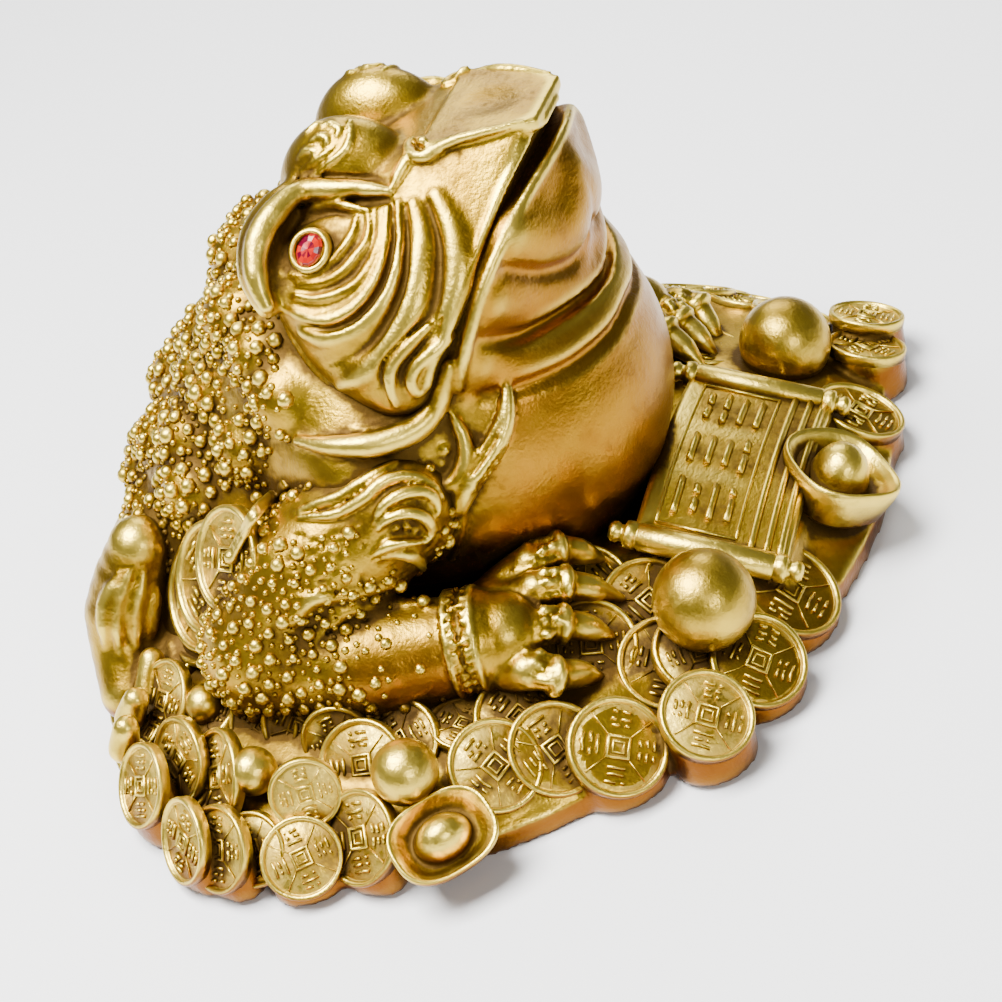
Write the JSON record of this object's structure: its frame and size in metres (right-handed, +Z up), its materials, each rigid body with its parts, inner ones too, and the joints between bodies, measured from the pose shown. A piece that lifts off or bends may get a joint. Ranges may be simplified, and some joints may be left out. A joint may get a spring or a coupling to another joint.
{
  "type": "money toad figure",
  "caption": "Three-legged toad crouching on an oval mound of coins, ingots, balls and a scroll, cast in brass, with small faceted red stones.",
  "frame": {"origin": "on the ground, under the middle of the figure's whole outline", "axes": "+Z up; the toad looks along -Y; its left side is +X, which is also the long way of the base"},
  "size_m": [0.126, 0.1052, 0.0717],
  "materials": {
    "brass": "satin, bright on the high places, brown patina in the recesses",
    "gem": "clear red, faceted and foil-backed"
  },
  "bodies": {
    "root": {"money_toad": "brass", "right_eye_gem": "gem", "left_eye_gem": "gem", "back_gem": "gem"}
  },
  "joints": []
}
